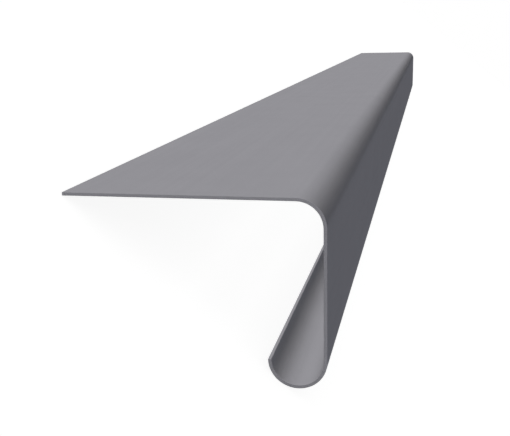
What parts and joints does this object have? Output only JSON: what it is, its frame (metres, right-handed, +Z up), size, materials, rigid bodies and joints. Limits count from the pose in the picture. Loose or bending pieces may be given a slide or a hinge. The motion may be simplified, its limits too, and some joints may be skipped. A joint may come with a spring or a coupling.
{
  "type": "fascia drip trim",
  "caption": "Bent sheet fascia drip trim: flat deck flange, rounded bend, plain fascia leg and an open half-round drip hem that curls back under the flange.",
  "frame": {"origin": "middle of the footprint, on the floor that the trim lies on", "axes": "+Y along the length from the near cut end to the far one, +X from the flange's free edge to the hem, +Z up"},
  "size_m": [0.0898, 1, 0.046],
  "materials": {
    "coated_sheet": "matte"
  },
  "bodies": {
    "root": {"drip_trim": "coated_sheet"}
  },
  "joints": []
}
